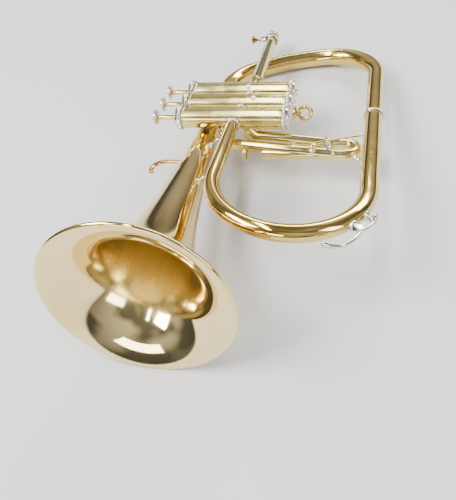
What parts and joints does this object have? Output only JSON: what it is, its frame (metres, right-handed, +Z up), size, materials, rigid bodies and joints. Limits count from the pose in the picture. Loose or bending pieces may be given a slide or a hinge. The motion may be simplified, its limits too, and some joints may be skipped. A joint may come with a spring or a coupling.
{
  "type": "flugelhorn",
  "caption": "Flugelhorn lying on its side: conical bell and bows, piston valves with finger buttons, leadpipe with a tuning slide and clamp screw, valve slides and water keys.",
  "frame": {"origin": "centre of the resting box, on the surface that the horn lies on", "axes": "+Z up; the bell mouth faces -Y and tips up by about 10 degrees; the finger buttons point to -X; the leadpipe runs to +Y"},
  "size_m": [0.245, 0.4298, 0.1496],
  "materials": {
    "lacquered_brass": "clear-lacquered, polished",
    "pale_brass": "pale lacquered brass",
    "nickel": "nickel plated, polished",
    "copper_brass": "worn red brass",
    "steel": "spring steel",
    "pearl": "pearl inlay",
    "cork": "cork",
    "felt": "felt"
  },
  "bodies": {
    "horn_body": {"bell": "lacquered_brass", "bell_rim_wire": "steel", "back_bow": "lacquered_brass", "bottom_tube": "lacquered_brass", "front_bow": "lacquered_brass", "valve_exit_tube": "lacquered_brass", "tube_ferrules": "nickel", "valve_casing_1": "pale_brass", "valve_casing_2": "pale_brass", "valve_casing_3": "pale_brass", "top_cap_1": "nickel", "top_cap_2": "nickel", "top_cap_3": "nickel", "bottom_cap_1": "nickel", "bottom_cap_2": "nickel", "bottom_cap_3": "nickel", "valve_spring_1": "steel", "valve_spring_2": "steel", "valve_spring_3": "steel", "cap_felts": "felt", "guide_screws": "nickel", "valve_knuckles": "nickel", "leadpipe_sleeve": "pale_brass", "clamp_collar": "nickel", "first_slide_tubes": "pale_brass", "second_slide_tubes": "pale_brass", "third_slide_tubes": "pale_brass", "body_braces": "nickel", "finger_hook": "copper_brass", "water_key_saddles": "nickel", "water_key_pins": "steel", "water_key_springs": "steel"},
    "valve_1": {"piston_1": "nickel", "valve_stem_1": "lacquered_brass", "finger_button_1": "nickel", "button_pearl_1": "pearl"},
    "valve_2": {"piston_2": "nickel", "valve_stem_2": "lacquered_brass", "finger_button_2": "nickel", "button_pearl_2": "pearl"},
    "valve_3": {"piston_3": "nickel", "valve_stem_3": "lacquered_brass", "finger_button_3": "nickel", "button_pearl_3": "pearl"},
    "main_slide": {"mouthpipe": "nickel"},
    "clamp_thumb_screw": {"clamp_screw": "lacquered_brass"},
    "first_valve_slide": {"first_slide": "lacquered_brass", "first_slide_ring": "lacquered_brass"},
    "second_valve_slide": {"second_slide": "lacquered_brass"},
    "third_valve_slide": {"third_slide": "pale_brass", "third_slide_knob": "nickel"},
    "main_spit_key": {"main_water_key": "nickel", "main_key_cork": "cork"},
    "third_spit_key": {"third_water_key": "pale_brass", "third_key_cork": "cork"}
  },
  "joints": [
    {"name": "valve_1_press", "type": "slide", "parent": "horn_body", "child": "valve_1", "axis": [0.9999, 0, -0.0105], "range_m": [0, 0.016], "stiffness_N_per_m": 110, "springref_m": -0.014, "deforming": ["valve_spring_1"]},
    {"name": "valve_2_press", "type": "slide", "parent": "horn_body", "child": "valve_2", "axis": [0.9999, 0, -0.0105], "range_m": [0, 0.016], "stiffness_N_per_m": 110, "springref_m": -0.014, "deforming": ["valve_spring_2"]},
    {"name": "valve_3_press", "type": "slide", "parent": "horn_body", "child": "valve_3", "axis": [0.9999, 0, -0.0105], "range_m": [0, 0.016], "stiffness_N_per_m": 110, "springref_m": -0.014, "deforming": ["valve_spring_3"]},
    {"name": "main_slide_pull", "type": "slide", "parent": "horn_body", "child": "main_slide", "axis": [-0.0019, 0.9836, -0.1802], "range_m": [0, 0.02]},
    {"name": "clamp_screw_turn", "type": "hinge", "parent": "horn_body", "child": "clamp_thumb_screw", "pos_m": [-0.00777, 0.2029, 0.02348], "axis": [-0.9999, 0, 0.0105], "range_deg": [0, 360]},
    {"name": "first_slide_pull", "type": "slide", "parent": "horn_body", "child": "first_valve_slide", "axis": [0.9999, 0, -0.0105], "range_m": [0, 0.01]},
    {"name": "second_slide_pull", "type": "slide", "parent": "horn_body", "child": "second_valve_slide", "axis": [-0.0103, -0.1802, -0.9836], "range_m": [0, 0.008]},
    {"name": "third_slide_pull", "type": "slide", "parent": "horn_body", "child": "third_valve_slide", "axis": [0.9999, 0, -0.0105], "range_m": [0, 0.025]},
    {"name": "main_water_key_open", "type": "hinge", "parent": "horn_body", "child": "main_spit_key", "pos_m": [0.10718, -0.11903, 0.07005], "axis": [-0.0958, -0.1795, -0.9791], "range_deg": [0, 7], "stiffness_Nm_per_rad": 0.06, "springref_deg": -28.65},
    {"name": "third_water_key_open", "type": "hinge", "parent": "horn_body", "child": "third_spit_key", "pos_m": [0.07258, 0.00627, 0.04339], "axis": [-0.3841, 0.9089, -0.1625], "range_deg": [0, 4.5], "stiffness_Nm_per_rad": 0.05, "springref_deg": -28.65}
  ]
}
